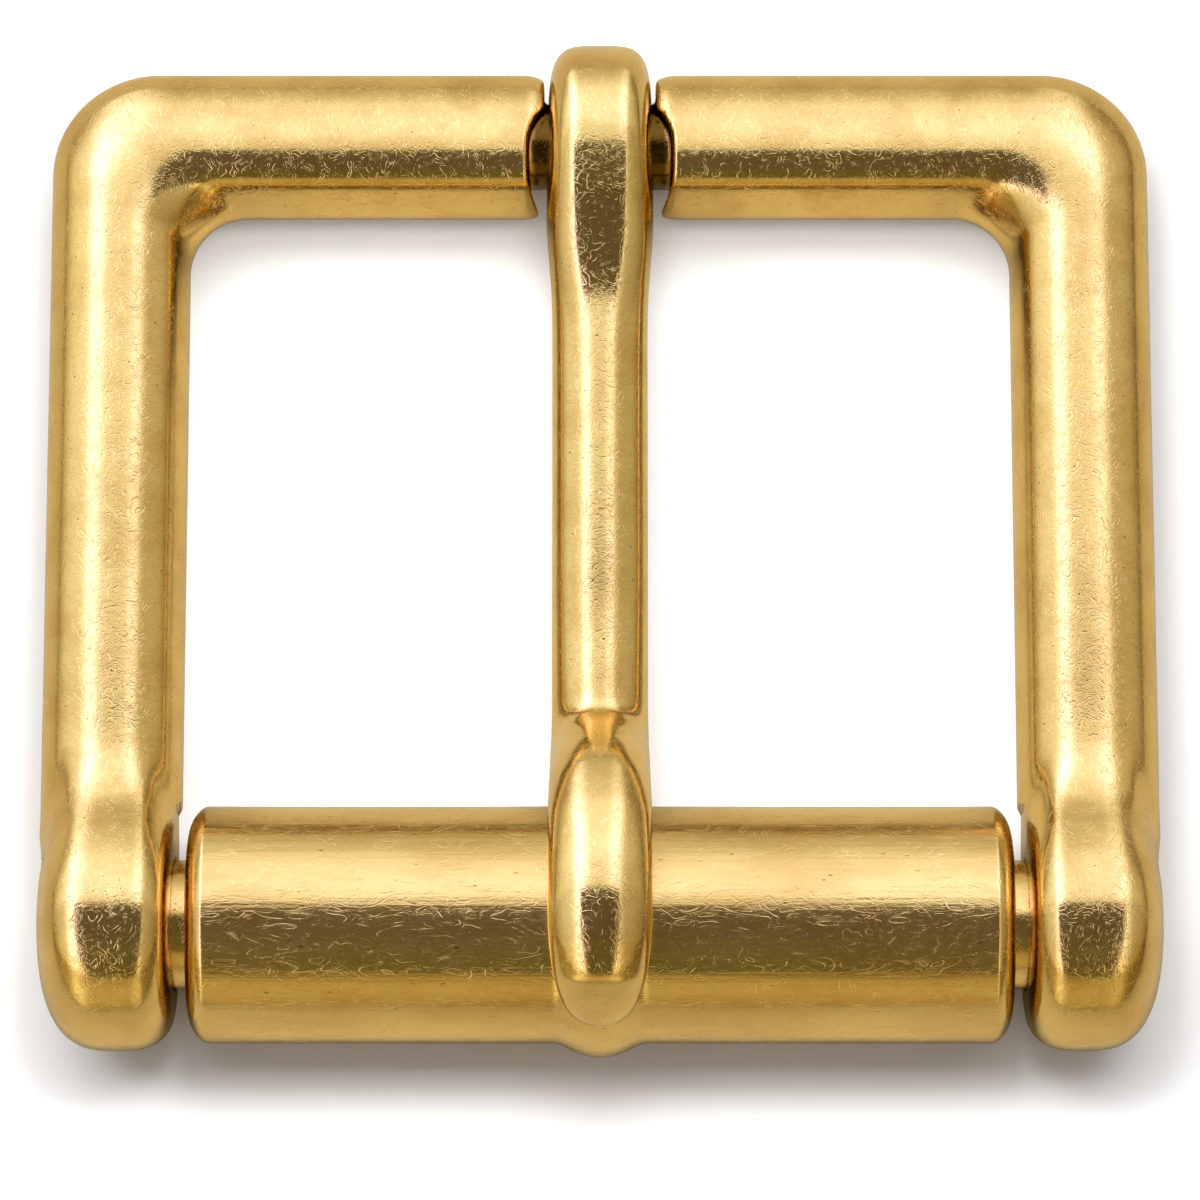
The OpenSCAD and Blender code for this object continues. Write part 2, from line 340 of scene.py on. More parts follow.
def group(name, inputs, outputs):
    """An empty shader node group with named inputs, given as (name, kind, default), and named outputs."""
    tree = bpy.data.node_groups.new(name, "ShaderNodeTree")
    for label, kind, default in inputs:
        socket = tree.interface.new_socket(label, in_out="INPUT", socket_type=kind)
        if default is not None:
            socket.default_value = default
    for label, kind in outputs:
        tree.interface.new_socket(label, in_out="OUTPUT", socket_type=kind)
    return tree, tree.nodes.new("NodeGroupInput").outputs, tree.nodes.new("NodeGroupOutput").inputs


def noise(tree, vector, scale, detail=2.0, roughness=0.5, distortion=0.0):
    """A noise texture's value, at a scale per millimetre."""
    node = tree.nodes.new("ShaderNodeTexNoise")
    for label, value in (("Vector", vector), ("Scale", scale), ("Detail", detail), ("Roughness", roughness),
                         ("Distortion", distortion)):
        feed(tree, node.inputs[label], value)
    return node.outputs[0]


def step_up(tree, value, low, high):
    """0 at low and 1 at high, flat beyond them and smooth between. Low may be the greater of the two."""
    node = tree.nodes.new("ShaderNodeMapRange")
    node.interpolation_type = "SMOOTHSTEP"
    for label, item in (("Value", value), ("From Min", low), ("From Max", high)):
        feed(tree, node.inputs[label], item)
    return node.outputs[0]


# Hairlines: short curly scratches, a few level lines of a noise, broken up by a second, finer noise.
level_lines = 8.0
break_finer = 2.3
break_top = 0.72
hairlines, given, result = group(
    "hairlines",
    [("Vector", "NodeSocketVector", None), ("Scale", "NodeSocketFloat", 1.0),
     ("Width", "NodeSocketFloat", 0.02), ("Cover", "NodeSocketFloat", 0.5)],
    [("Lines", "NodeSocketFloat")])
wander = noise(hairlines, given["Vector"], given["Scale"], detail=1.5, distortion=0.8)
off_line = calc(hairlines, "PINGPONG", calc(hairlines, "MULTIPLY", wander, level_lines), 0.5)
line = calc(hairlines, "SUBTRACT", 1.0, step_up(hairlines, off_line, 0.0, given["Width"]))
break_scale = calc(hairlines, "MULTIPLY", given["Scale"], break_finer)
breaks = noise(hairlines, given["Vector"], break_scale, detail=1.0)
shown = step_up(hairlines, breaks, calc(hairlines, "SUBTRACT", 1.0, given["Cover"]), break_top)
hairlines.links.new(calc(hairlines, "MULTIPLY", line, shown), result["Lines"])

# Pits: a few small round specks in each cubic millimetre.
pits, given, result = group(
    "pits",
    [("Vector", "NodeSocketVector", None), ("Scale", "NodeSocketFloat", 1.0),
     ("Size", "NodeSocketFloat", 0.15), ("Chance", "NodeSocketFloat", 0.3)],
    [("Specks", "NodeSocketFloat")])
cells = pits.nodes.new("ShaderNodeTexVoronoi")
pits.links.new(given["Vector"], cells.inputs["Vector"])
pits.links.new(given["Scale"], cells.inputs["Scale"])
speck = calc(pits, "SUBTRACT", 1.0, step_up(pits, cells.outputs["Distance"], 0.0, given["Size"]))
split = pits.nodes.new("ShaderNodeSeparateColor")
pits.links.new(cells.outputs["Color"], split.inputs[0])
lucky = calc(pits, "LESS_THAN", split.outputs[0], given["Chance"])
pits.links.new(calc(pits, "MULTIPLY", speck, lucky), result["Specks"])


def brass(name, seed, colour, worn, stretch=(1, 1, 1), gloss=0.13, streaks=0.0, relief=1.0):
    """Polished solid brass with a faint patina, hairlines, pits and the slight waves of hand polishing."""
    bump_depth = 0.003 * MM
    pit_cover = 0.9
    pit_shade = 0.3
    cloud_dulls = 0.12
    streak_scale = (0.25, 4.2, 4.2)
    material = bpy.data.materials.new(name)
    material.use_nodes = True
    tree = material.node_tree
    shader = tree.nodes["Principled BSDF"]
    shader.inputs["Metallic"].default_value = 1.0
    # Each brass reads its patterns at a place of its own, which its seed gives.
    where = tree.nodes.new("ShaderNodeTexCoord")
    mapping = tree.nodes.new("ShaderNodeMapping")
    mapping.inputs["Location"].default_value = (seed, 0.37 * seed, -0.61 * seed)
    mapping.inputs["Scale"].default_value = [s / MM for s in stretch]
    tree.links.new(where.outputs["Object"], mapping.inputs["Vector"])
    point = mapping.outputs[0]

    def placed(tree_group, **values):
        node = tree.nodes.new("ShaderNodeGroup")
        node.node_tree = tree_group
        tree.links.new(point, node.inputs["Vector"])
        for label, value in values.items():
            node.inputs[label].default_value = value
        return node.outputs[0]

    coarse = placed(hairlines, Scale=0.9, Width=0.13, Cover=0.66)
    fine = placed(hairlines, Scale=2.1, Width=0.26, Cover=0.74)
    specks = placed(pits, Scale=1.7, Size=0.13, Chance=0.55)
    cloud = noise(tree, point, scale=0.35, detail=5.0, roughness=0.62)
    grain = noise(tree, point, scale=7.0, detail=3.0, roughness=0.6)
    wave = noise(tree, point, scale=0.22, detail=1.0)

    tint = mixed(tree, step_up(tree, cloud, low=0.4, high=0.68), colour, worn)
    pitted = tuple(pit_shade * c for c in worn)
    tint = mixed(tree, calc(tree, "MULTIPLY", specks, pit_cover), tint, pitted)
    tree.links.new(tint, shader.inputs["Base Color"])
    rough = gloss - cloud_dulls / 2
    for mark, dulls in ((cloud, cloud_dulls), (coarse, 0.18), (fine, 0.1)):
        rough = calc(tree, "MULTIPLY_ADD", mark, dulls, rough)
    tree.links.new(rough, shader.inputs["Roughness"])
    # Scratches and pits are cut in, and the grain and the polishing's waves stand up.
    height = 0.0
    for mark, rise in ((coarse, -1.7), (fine, -0.9), (specks, -2.0), (grain, 0.9), (wave, 6.0)):
        height = calc(tree, "MULTIPLY_ADD", mark, rise, height)
    if streaks:
        drawn = tree.nodes.new("ShaderNodeMapping")
        drawn.inputs["Scale"].default_value = streak_scale
        tree.links.new(point, drawn.inputs["Vector"])
        streak = noise(tree, drawn.outputs[0], scale=1.0, detail=4.0)
        height = calc(tree, "MULTIPLY_ADD", streak, streaks, height)
    bump = tree.nodes.new("ShaderNodeBump")
    bump.inputs["Distance"].default_value = bump_depth * relief
    tree.links.new(height, bump.inputs["Height"])
    tree.links.new(bump.outputs[0], shader.inputs["Normal"])
    return material


cast_brass = brass("cast_brass", seed=3.0, colour=(0.86, 0.61, 0.225), worn=(0.74, 0.49, 0.165))
# Painted shade: the neck and the hollows beside it, a deep narrow gap between the bar's cut ends and the
# tongue's eye, are darkened in the brass's base colour. It fades out between the second and the first of
# these distances, from the tongue's middle plane and from the neck's axis.
painted_shade_x = (3.65, 3.1)
painted_shade_r = (2.95, 2.4)
painted_shade_colour = (0.13, 0.07, 0.012)
painted_shade_tree = cast_brass.node_tree
where = painted_shade_tree.nodes.new("ShaderNodeTexCoord")
split = painted_shade_tree.nodes.new("ShaderNodeSeparateXYZ")
painted_shade_tree.links.new(where.outputs["Object"], split.inputs[0])
off_y = calc(painted_shade_tree, "SUBTRACT", split.outputs[1], bar_y * MM)
off_z = calc(painted_shade_tree, "SUBTRACT", split.outputs[2], bar_z * MM)
off_z_2 = calc(painted_shade_tree, "MULTIPLY", off_z, off_z)
from_axis = calc(painted_shade_tree, "SQRT", calc(painted_shade_tree, "MULTIPLY_ADD", off_y, off_y, off_z_2))
from_middle = calc(painted_shade_tree, "ABSOLUTE", split.outputs[0])
near_eye = step_up(painted_shade_tree, from_middle, *[x * MM for x in painted_shade_x])
near_neck = step_up(painted_shade_tree, from_axis, *[r * MM for r in painted_shade_r])
painted_shade_amount = calc(painted_shade_tree, "MULTIPLY", near_eye, near_neck)
shader = painted_shade_tree.nodes["Principled BSDF"]
polished = shader.inputs["Base Color"].links[0].from_socket
# The painted shade is mixed over the polished colour near the neck.
painted_shade_tree.links.new(mixed(painted_shade_tree, painted_shade_amount, polished, painted_shade_colour), shader.inputs["Base Color"])
frame_piece.data.materials.append(cast_brass)
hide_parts("frame")
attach(frame_piece, "frame")

# The pin
# A plain brass rod through both knuckles and the roller. Its ends are riveted over and dressed flush with the
# knuckles' domes, so only a fine ring shows on the outer sides.
pin_sides = 96
pin_columns = 260


def turned_tree(name, sizes, radius_rule, columns, sides):
    """A node tree that turns a bar about the pin's axis, with the radius that radius_rule gives along X."""
    weld = 1e-4 * MM
    tree = bpy.data.node_groups.new(name, "GeometryNodeTree")
    tree.interface.new_socket("Geometry", in_out="INPUT", socket_type="NodeSocketGeometry")
    for label, value in sizes.items():
        tree.interface.new_socket(label, in_out="INPUT", socket_type="NodeSocketFloat").default_value = value
    tree.interface.new_socket("Material", in_out="INPUT", socket_type="NodeSocketMaterial")
    tree.interface.new_socket("Geometry", in_out="OUTPUT", socket_type="NodeSocketGeometry")
    given = tree.nodes.new("NodeGroupInput").outputs
    grid = tree.nodes.new("GeometryNodeMeshGrid")
    grid.inputs["Size X"].default_value = 1
    grid.inputs["Size Y"].default_value = 1
    grid.inputs["Vertices X"].default_value = columns
    grid.inputs["Vertices Y"].default_value = sides + 1
    position = tree.nodes.new("GeometryNodeInputPosition")
    split = tree.nodes.new("ShaderNodeSeparateXYZ")
    tree.links.new(position.outputs[0], split.inputs[0])
    # The grid's columns run from the bore's left end, over the outside, to the bore's right end and back.
    column = calc(tree, "MULTIPLY", calc(tree, "ADD", split.outputs[0], 0.5), columns - 1)
    column = calc(tree, "ROUND", column)
    share = calc(tree, "DIVIDE", calc(tree, "SUBTRACT", column, 1), columns - 4)
    clamped = calc(tree, "MAXIMUM", calc(tree, "MINIMUM", share, 1.0), 0.0)
    swing = calc(tree, "MULTIPLY", calc(tree, "SUBTRACT", clamped, 0.5), math.pi)
    going_back = calc(tree, "GREATER_THAN", column, columns - 1.5)
    side_sign = calc(tree, "MULTIPLY_ADD", going_back, -2.0, 1.0)
    along = calc(tree, "MULTIPLY", calc(tree, "SINE", swing), given["Half Length"])
    along = calc(tree, "MULTIPLY", along, side_sign)
    outer = radius_rule(tree, given, calc(tree, "ABSOLUTE", along))
    off_half = calc(tree, "ABSOLUTE", calc(tree, "SUBTRACT", share, 0.5))
    on_bore = calc(tree, "GREATER_THAN", off_half, 0.501)
    radius = calc(tree, "MULTIPLY", outer, calc(tree, "SUBTRACT", 1.0, on_bore))
    radius = calc(tree, "MULTIPLY_ADD", on_bore, given["Bore Radius"], radius)
    angle = calc(tree, "MULTIPLY", split.outputs[1], 2 * math.pi)
    place_at = tree.nodes.new("ShaderNodeCombineXYZ")
    tree.links.new(along, place_at.inputs[0])
    for socket, turn, axis in (("Y", "COSINE", "Axis Y"), ("Z", "SINE", "Axis Z")):
        spot = calc(tree, "MULTIPLY_ADD", radius, calc(tree, turn, angle), given[axis])
        tree.links.new(spot, place_at.inputs[socket])
    moved = tree.nodes.new("GeometryNodeSetPosition")
    tree.links.new(grid.outputs["Mesh"], moved.inputs["Geometry"])
    tree.links.new(place_at.outputs[0], moved.inputs["Position"])
    merged = tree.nodes.new("GeometryNodeMergeByDistance")
    merged.inputs["Distance"].default_value = weld
    tree.links.new(moved.outputs[0], merged.inputs["Geometry"])
    realized = tree.nodes.new("GeometryNodeRealizeInstances")
    tree.links.new(merged.outputs[0], realized.inputs[0])
    painted = tree.nodes.new("GeometryNodeSetMaterial")
    tree.links.new(realized.outputs[0], painted.inputs["Geometry"])
    tree.links.new(given["Material"], painted.inputs["Material"])
    tree.links.new(painted.outputs[0], tree.nodes.new("NodeGroupOutput").inputs[0])
    return tree


def turned_piece(name, tree, sizes, material):
    """Runs a turning tree with its sizes and material, and keeps the result as a plain mesh."""
    sharp_from = math.radians(38)
    carrier = bpy.data.objects.new(name + "_blank", bpy.data.meshes.new(name + "_blank"))
    bpy.context.scene.collection.objects.link(carrier)
    modifier = carrier.modifiers.new("turning", "NODES")
    modifier.node_group = tree
    for item in tree.interface.items_tree:
        if item.in_out == "INPUT" and item.name in sizes:
            modifier[item.identifier] = sizes[item.name]
        if item.in_out == "INPUT" and item.name == "Material":
            modifier[item.identifier] = material
    bpy.context.view_layer.update()
    finished = carrier.evaluated_get(bpy.context.evaluated_depsgraph_get())
    mesh = bpy.data.meshes.new_from_object(finished)
    mesh.name = name
    carrier.modifiers.remove(modifier)
    bpy.data.objects.remove(carrier)
    mesh.shade_smooth()
    mesh.set_sharp_from_angle(angle=sharp_from)
    piece = bpy.data.objects.new(name, mesh)
    bpy.context.scene.collection.objects.link(piece)
    return piece


def round_off(tree, past, square):
    """1 where a rounded end starts and 0 at its tip, along a squared curve."""
    past = calc(tree, "MINIMUM", calc(tree, "MAXIMUM", past, 0.0), 1.0)
    left = calc(tree, "SUBTRACT", 1.0, calc(tree, "POWER", past, square))
    return calc(tree, "POWER", left, calc(tree, "DIVIDE", 1.0, square))


def rod_radius(tree, given, along):
    """The rod's radius, which falls to nothing over the domes of its riveted ends."""
    past = calc(tree, "DIVIDE", calc(tree, "SUBTRACT", along, given["Crest"]), given["Dome Length"])
    dome = calc(tree, "MULTIPLY", round_off(tree, past, given["Dome Square"]), given["Dome Radius"])
    return calc(tree, "MINIMUM", given["Radius"], dome)


pin_sizes = {
    "Half Length": tip_x * MM, "Radius": pin_r * MM, "Bore Radius": 0.0, "Crest": crest_x * MM,
    "Dome Length": knuckle_out * MM, "Dome Radius": knuckle_r * MM, "Dome Square": dome_square,
    "Axis Y": pin_y * MM, "Axis Z": pin_z * MM,
}
rod_brass = brass("rod_brass", seed=11.0, colour=(0.86, 0.61, 0.225), worn=(0.72, 0.47, 0.155), gloss=0.16)
rod_tree = turned_tree("rod", pin_sizes, rod_radius, pin_columns, pin_sides)
pin_piece = turned_piece("pin_rod", rod_tree, pin_sizes, rod_brass)
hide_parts("pin")
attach(pin_piece, "frame")

# The roller
# A sleeve turned from brass bar, free to spin on the pin, so that the strap runs over it without wear. Its
# ends are rounded, a raised bead round its middle carries the tongue, and it is polished along its length.
roller_sides = 160
roller_columns = 260
roller_r = 5.71
roller_end_gap = 0.7
roller_round = 0.9
roller_fall = 1.3
end_square = 1.7
bead_h = 0.7
bead_w = 4.2
foot_share = 0.35
roller_play = 0.08


def sleeve_radius(tree, given, along):
    """The sleeve's radius: a cylinder with rounded ends and a crowned bead."""
    near = calc(tree, "DIVIDE", calc(tree, "MULTIPLY", along, 2.0), given["Bead Width"])
    near = calc(tree, "MINIMUM", near, 1.0)
    near_2 = calc(tree, "MULTIPLY", near, near)
    crown = calc(tree, "SUBTRACT", 1.0, near_2)
    foot = calc(tree, "SUBTRACT", 1.0, calc(tree, "MULTIPLY", near_2, given["Bead Foot"]))
    bead = calc(tree, "MULTIPLY", calc(tree, "MULTIPLY", crown, foot), given["Bead Height"])
    to_end = calc(tree, "SUBTRACT", given["Half Length"], along)
    past = calc(tree, "SUBTRACT", 1.0, calc(tree, "DIVIDE", to_end, given["End Round"]))
    fall = calc(tree, "SUBTRACT", 1.0, round_off(tree, past, given["End Square"]))
    body = calc(tree, "SUBTRACT", given["Radius"], calc(tree, "MULTIPLY", fall, given["End Fall"]))
    return calc(tree, "ADD", body, bead)


roller_sizes = {
    "Half Length": (face_x - roller_end_gap) * MM, "Radius": roller_r * MM,
    "Bore Radius": (pin_r + roller_play) * MM, "Bead Width": bead_w * MM, "Bead Height": bead_h * MM,
    "Bead Foot": foot_share, "End Round": roller_round * MM, "End Fall": roller_fall * MM,
    "End Square": end_square, "Axis Y": pin_y * MM, "Axis Z": pin_z * MM,
}
roller_brass = brass(
    "roller_brass", seed=23.0, colour=(0.87, 0.62, 0.235), worn=(0.76, 0.5, 0.17), stretch=(0.4, 1, 1),
    gloss=0.16, streaks=4.0)
sleeve_tree = turned_tree("sleeve", roller_sizes, sleeve_radius, roller_columns, roller_sides)
roller_piece = turned_piece("turned_roller", sleeve_tree, roller_sizes, roller_brass)
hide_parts("roller")
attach(roller_piece, "roller")

# The tongue
# One brass casting, closed round the bar's neck before it was polished: a flat-sided eye, a straight round
# shank, and an egg shaped spoon that steps up over the roller's bead and curls down past it.
eye_r = 5.05
eye_w = 5.2
eye_square = 4.3
eye_play = 0.08
eye_soft = 0.3
shank_w = 4.66
shank_t = 3.6
shank_drop = 1.2
tip_cap = 0.2
spoon_w = 5.0
spoon_t = 2.5
seat_gap = 0.12
seat_soft = 0.2
# The eye is a plain disc that the shaft melts into. The disc is drawn in by the first two, which leaves room
# for the fillet, and the shaft's underside lies inside it by the last.
disc_in_w = 0.03
disc_in_r = 0.02
disc_melt = 0.25
shaft_in = 0.3

seat_r = roller_r + bead_h + seat_gap
shank_top = bar_z + eye_r - shank_drop
shank_low = shank_top - shank_t
spoon_top = pin_z + seat_r + spoon_t

# Sections of the tongue from its eye to its tip. Their places along Y are shares of the eye's radius from the
# bar's axis, or of the seat's radius from the pin's axis.
# Columns: y, share of the drop to the shank's top, share of the rise to its underside, width from the
# shank's (0) to the eye's (1), squareness.
root_rows = [
    (0.62, 1.8, 0, -0.4, 4.3),
    (0.4, 1.15, 0, -0.2, 4.3),
    (0.2, 0.6, 0, 0.0, 4.3),
    (0.0, 0.22, 0, 0.4, 4.3),
    (-0.3, 0.1, 0, 0.85, 4.3),
    (-0.55, 0.16, 0, 1, 4.1),
    (-0.8, 0.34, 0.06, 1.15, 3.7),
    (-0.95, 0.5, 0.25, 1.1, 3.4),
    (-1.1, 0.66, 0.72, 0.9, 3.1),
    (-1.3, 0.84, 0.93, 0.55, 2.7),
    (-1.55, 0.96, 1, 0.2, 2.4),
    (-1.8, 1, 1, 0, 2.2),
    (-3.0, 1, 1, 0, 2.1),
    (-4.5, 1, 1, 0, 2.1),
]
# Columns: top y, top rise from the shank (0) to the crest (1), underside y, underside rise, width,
# squareness, how much the section narrows upwards. The width goes from the shank's (0) to the spoon's (1)
# up to the step's end, and is a share of the spoon's past it.
step_end = 0.5
step_rows = [
    (1.66, 0.028, 1.56, -0.02, 0, 2.1, 0.0),
    (1.56, 0.038, 1.46, -0.01, 0.04, 2.3, 0.08),
    (1.5, 0.1, 1.4, 0.0, 0.08, 2.9, 0.3),
    (1.39, 0.29, 1.28, 0.05, 0.15, 3.0, 0.34),
    (1.22, 0.51, 1.1, 0.18, 0.35, 2.9, 0.22),
    (1.0, 0.7, 0.8, 0.55, 0.65, 2.6, 0.08),
    (0.71, 0.86, 0.52, 0.78, 0.97, 2.4, 0.0),
    (0.36, 0.97, 0.27, 0.885, 1, 2.2, 0.0),
    (0.03, 1, 0, 0.92, 1, 2.2, 0.0),
    (-0.23, 0.969, -0.18, 0.905, 0.98, 2.2, 0.0),
    (-0.398, 0.911, -0.3, 0.875, 0.94, 2.2, 0.0),
    (-0.52, 0.849, -0.39, 0.84, 0.9, 2.2, 0.0),
    (-0.55, 0.825, -0.415, 0.83, 0.885, 2.2, 0.0),
    (-0.613, 0.746, -0.47, 0.8, 0.84, 2.2, 0.0),
    (-0.704, 0.622, -0.56, 0.745, 0.74, 2.2, 0.0),
    (-0.773, 0.508, -0.65, 0.69, 0.62, 2.2, 0.0),
    (-0.805, 0.425, -0.7, 0.655, 0.5, 2.2, 0.0),
    (-0.82, 0.385, -0.72, 0.64, 0.4, 2.2, 0.0),
]


def tongue_sections():
    """Each section as a row: top Y and Z, underside Y and Z, half width, squareness and narrowing."""
    rows = []
    for y, drop, lift, wide, square in root_rows:
        at = bar_y + y * eye_r
        low_r = eye_r - shaft_in * max(0.0, 1 - abs(y))
        round_low = bar_z - low_r * math.sqrt(max(0.0, 1 - y * y))
        low_end = round_low * (1 - lift) + shank_low * lift
        half_w = (shank_w + (eye_w - shank_w) * wide) / 2
        rows.append((at, bar_z + eye_r - shank_drop * drop, at, low_end, half_w, square, 0.0))
    for top, rise, under, lift, wide, square, narrow in step_rows:
        top_z = shank_top + (spoon_top - shank_top) * rise
        under_z = shank_low + (pin_z + seat_r - shank_low) * lift
        half_w = (shank_w + (spoon_w - shank_w) * wide) / 2 if top > step_end else spoon_w / 2 * wide
        rows.append((pin_y + top * seat_r, top_z, pin_y + under * seat_r, under_z, half_w, square, narrow))
    return np.array(rows)


def flowing(rows, steps):
    """Smooth curves through the columns of a table, with no overshoot."""
    middle = (rows[:, :2] + rows[:, 2:4]) / 2
    at = np.concatenate([[0], np.cumsum(np.linalg.norm(np.diff(middle, axis=0), axis=1))])
    gap = np.diff(at)[:, None]
    lean = np.diff(rows, axis=0) / gap
    both = lean[:-1] * lean[1:]
    inner = np.where(both > 0, 2 * both / np.where(both > 0, lean[:-1] + lean[1:], 1), 0)
    tangent = np.concatenate([lean[:1], inner, lean[-1:]])
    fine = np.linspace(at[0], at[-1], steps)
    k = np.clip(np.searchsorted(at, fine, side="right") - 1, 0, len(at) - 2)
    t = ((fine - at[k]) / (at[k + 1] - at[k]))[:, None]
    return (rows[k] * (1 + 2 * t) * (1 - t) ** 2 + rows[k + 1] * t * t * (3 - 2 * t)
            + gap[k] * tangent[k] * t * (1 - t) ** 2 - gap[k] * tangent[k + 1] * t * t * (1 - t))


def eased(rows, share, width):
    """Rows with their kinks eased over a width, in rows, as far as each row's share says."""
    reach = 3 * width
    weights = np.exp(-0.5 * (np.arange(-reach, reach + 1) / width) ** 2)
    padded = np.pad(rows, ((reach, reach), (0, 0)), mode="edge")
    weights = weights / weights.sum()
    softened = np.stack([np.convolve(column, weights, "valid") for column in padded.T], axis=1)
    return rows + np.clip(share, 0, 1)[:, None] * (softened - rows)


section_count = 1600
sections = flowing(tongue_sections(), section_count)
# Kinks are eased broadly near the eye, and lightly everywhere but at the spoon's tip. Each easing sets in
# over a few millimetres from its start.
ease_in = 3
for start, width in ((bar_y - 2.6 * eye_r, 28), (pin_y - 2, 8)):
    sections = eased(sections, (sections[:, 0] - start) / ease_in, width)
guess_step = 0.25
guess_margin = 2
guess_low = np.array([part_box("tongue")[0].y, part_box("tongue")[0].z]) / MM - guess_margin
guess_shape = (226, 82)


def first_guess():
    """The number of the section nearest to each place on a coarse grid in the tongue's side plane."""
    skip = 8
    middles = (sections[::skip, :2] + sections[::skip, 2:4]) / 2
    spot = np.indices(guess_shape).reshape(2, -1).T * guess_step + guess_low
    away = ((spot[:, None] - middles[None]) ** 2).sum(2)
    return away.argmin(1).reshape(guess_shape) * float(skip)


guesses = first_guess()


def along_tongue(y, z):
    """The section that each point lies in, as a row of values, and the point's place in it."""
    tries = 6
    longest_step = 120
    least_size = 1e-3
    least_speed = 1e-4
    spot = np.stack([y, z], axis=1)
    cell = np.clip(np.rint((spot - guess_low) / guess_step).astype(int), 0, np.array(guess_shape) - 1)
    at = guesses[tuple(cell.T)]
    last = len(sections) - 1
    for _ in range(tries):
        k = np.clip(at.astype(int), 0, last - 1)
        t = (at - k)[:, None]
        row = sections[k] * (1 - t) + sections[k + 1] * t
        ahead = sections[k + 1] - sections[k]
        half = (row[:, :2] - row[:, 2:4]) / 2
        size = np.maximum(np.linalg.norm(half, axis=1), least_size)
        off = spot - (row[:, :2] + row[:, 2:4]) / 2
        pace = (ahead[:, :2] + ahead[:, 2:4]) / 2
        aside = (off[:, 0] * half[:, 1] - off[:, 1] * half[:, 0]) / size
        speed = (pace[:, 0] * half[:, 1] - pace[:, 1] * half[:, 0]) / size
        step = np.clip(aside / np.minimum(speed, -least_speed), -longest_step, longest_step)
        at = np.clip(at + step, 0, last)
    up = (off * half).sum(1) / size ** 2
    return up, np.abs(aside), size, row[:, 4], row[:, 5], row[:, 6]


def swing_tongue(x, y, z):
    """The whole tongue: the shaft melted into the eye's disc, bored for the neck and seated on the bead."""
    up, aside, size, half_w, square, narrow = along_tongue(y, z)
    wide = half_w * (1 - narrow * np.clip(up, 0, 1))
    shaft = (np.hypot(squared(x / wide, up, square), aside / tip_cap) - 1) * np.minimum(size, half_w)
    from_bar = np.hypot(y - bar_y, z - bar_z)
    disc = squared(x / (eye_w / 2 - disc_in_w), from_bar / (eye_r - disc_in_r), eye_square)
    whole = melt(shaft, (disc - 1) * eye_w / 2, disc_melt)
    whole = carve(whole, from_bar - neck_r - eye_play, eye_soft)
    near = np.minimum(np.abs(x) / (bead_w / 2), 1)
    rise = bead_h * (1 - near ** 2) * (1 - foot_share * near ** 2)
    return carve(whole, np.hypot(y - pin_y, z - pin_z) - roller_r - seat_gap - rise, seat_soft)


low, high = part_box("tongue")
tongue_grid = 0.16
tongue_piece = skin_of("swing_tongue", swing_tongue, [
    grid_lines([(a / MM - margin, tongue_grid), (b / MM + margin, tongue_grid)]) for a, b in zip(low, high)])
tongue_brass = brass(
    "tongue_brass", seed=41.0, colour=(0.87, 0.625, 0.235), worn=(0.77, 0.51, 0.175), gloss=0.11, relief=0.8)
tongue_piece.data.materials.append(tongue_brass)
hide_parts("tongue")
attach(tongue_piece, "tongue")

# The table and the light
# The buckle lies on a plain white table in a light tent. Its brass mirrors the tent: bright strips to the
# left and right, a bright north wall, a dim warm south side, and the dark card that the camera looks past.
def level_sheet(name, west, south, east, north, high):
    """A level rectangle at a height."""
    mesh = bpy.data.meshes.new(name)
    mesh.from_pydata(
        [(west, south, high), (east, south, high), (east, north, high), (west, north, high)], [],
        [(0, 1, 2, 3)])
    sheet = bpy.data.objects.new(name, mesh)
    bpy.context.scene.collection.objects.link(sheet)
    return sheet


edge = 2.0
table = level_sheet("table", -edge, -edge, edge, edge, 0)
# The paper is white to the camera. In the brass it is dim and warm: painted shade and painted warm bounce
# light for the floor round the buckle, and darker still where it is mirrored twice.
paper_white = (0.9, 0.9, 0.905)
paper_mirrored = (0.41, 0.36, 0.25)
paper_mirrored_twice = (0.2, 0.16, 0.06)
paper = bpy.data.materials.new("white_paper")
paper.use_nodes = True
paper_tree = paper.node_tree
paper_shader = paper_tree.nodes["Principled BSDF"]
paper_shader.inputs["Roughness"].default_value = 0.9
paper_shader.inputs["Specular IOR Level"].default_value = 0.1
seen_by = paper_tree.nodes.new("ShaderNodeLightPath")
mirrored_again = calc(paper_tree, "GREATER_THAN", seen_by.outputs["Glossy Depth"], 1.5)
paper_tint = mixed(paper_tree, seen_by.outputs["Is Glossy Ray"], paper_white, paper_mirrored)
paper_tint = mixed(paper_tree, mirrored_again, paper_tint, paper_mirrored_twice)
paper_tree.links.new(paper_tint, paper_shader.inputs["Base Color"])
table.data.materials.append(paper)


def ramp_of(tree, place, stops):
    """A colour ramp over 0 to 1, from (place, colour) pairs."""
    ramp = tree.nodes.new("ShaderNodeValToRGB")
    ramp.color_ramp.interpolation = "LINEAR"
    while len(ramp.color_ramp.elements) < len(stops):
        ramp.color_ramp.elements.new(0.5)
    for element, (position, colour) in zip(ramp.color_ramp.elements, stops):
        element.position = position
        element.color = (*colour, 1)
    tree.links.new(place, ramp.inputs[0])
    return ramp.outputs[0]


card_high = 0.292
card_north = 0.047
card_south = -0.45
card_half = 0.115
card_long = card_north - card_south
